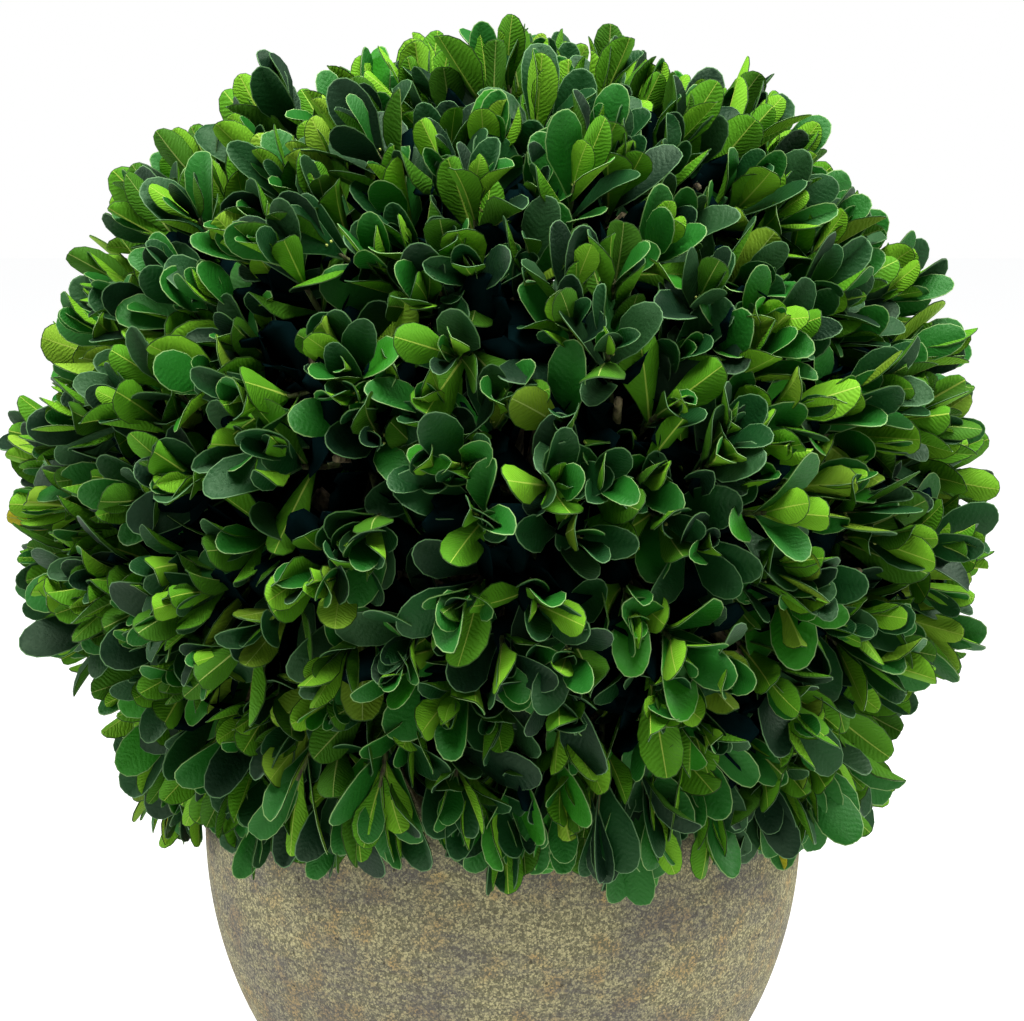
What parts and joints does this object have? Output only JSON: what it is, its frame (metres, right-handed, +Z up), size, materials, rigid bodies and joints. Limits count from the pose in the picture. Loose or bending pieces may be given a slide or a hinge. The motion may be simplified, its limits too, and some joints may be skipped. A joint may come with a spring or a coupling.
{
  "type": "potted box topiary ball",
  "caption": "Clipped ball of small blunt box leaves standing in a round-bellied mottled pot, whose lowest shoots hang over the rim.",
  "frame": {"origin": "middle of the pot's flat underside", "axes": "+Z up along the stem, from the pot's underside to the top of the ball; -Y is the side that is seen from the front, +X is to its right"},
  "size_m": [0.2752, 0.2684, 0.31],
  "materials": {
    "pot": "matte",
    "soil": "matte",
    "bark": "matte",
    "leaves": "satin"
  },
  "bodies": {
    "root": {"pot": "pot", "soil": "soil", "stem": "bark", "foliage": "leaves"}
  },
  "joints": []
}
